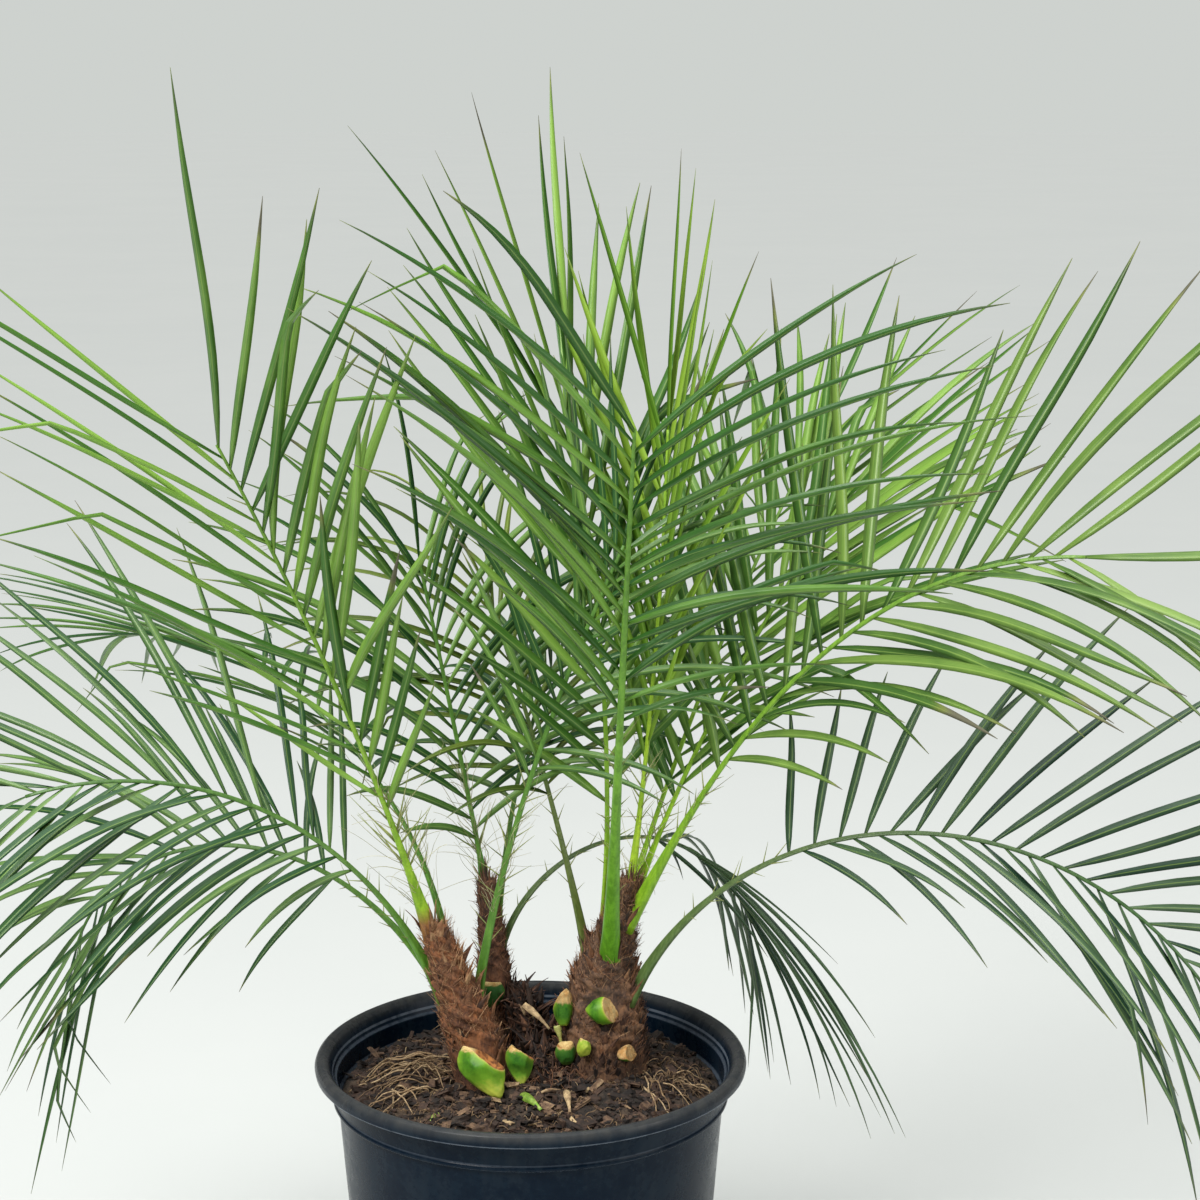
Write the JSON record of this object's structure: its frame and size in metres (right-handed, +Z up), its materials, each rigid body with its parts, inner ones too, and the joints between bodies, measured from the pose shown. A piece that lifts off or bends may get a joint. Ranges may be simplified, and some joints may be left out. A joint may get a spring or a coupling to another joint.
{
  "type": "potted pygmy date palm",
  "caption": "Clump of young date palms with arching feather fronds on shaggy trunks, growing in a round black nursery pot filled with bark mulch.",
  "frame": {"origin": "middle of the pot's flat underside", "axes": "+Z up, +X to the plant's right as pictured, -Y towards the viewer"},
  "size_m": [0.9912, 0.7079, 0.8674],
  "materials": {
    "pot_black": "semi-gloss",
    "bark_mulch": "rough",
    "trunk_fibre": "fibrous",
    "cut_leaf_base": "satin",
    "frond_green": "satin"
  },
  "bodies": {
    "root": {"pot": "pot_black", "soil": "bark_mulch", "stem_left": "trunk_fibre", "stem_middle": "trunk_fibre", "stem_right": "trunk_fibre", "leaf_base_1": "cut_leaf_base", "leaf_base_2": "cut_leaf_base", "leaf_base_3": "cut_leaf_base", "leaf_base_4": "cut_leaf_base", "leaf_base_5": "cut_leaf_base", "leaf_base_6": "cut_leaf_base", "leaf_base_7": "cut_leaf_base", "leaf_base_8": "cut_leaf_base", "frond_left_1": "frond_green", "frond_left_2": "frond_green", "frond_left_3": "frond_green", "frond_left_4": "frond_green", "frond_left_5": "frond_green", "frond_middle_1": "frond_green", "frond_middle_2": "frond_green", "frond_middle_3": "frond_green", "frond_right_1": "frond_green", "frond_right_2": "frond_green", "frond_right_3": "frond_green", "frond_right_4": "frond_green", "frond_right_5": "frond_green", "frond_right_6": "frond_green", "frond_right_7": "frond_green", "frond_right_8": "frond_green"}
  },
  "joints": []
}
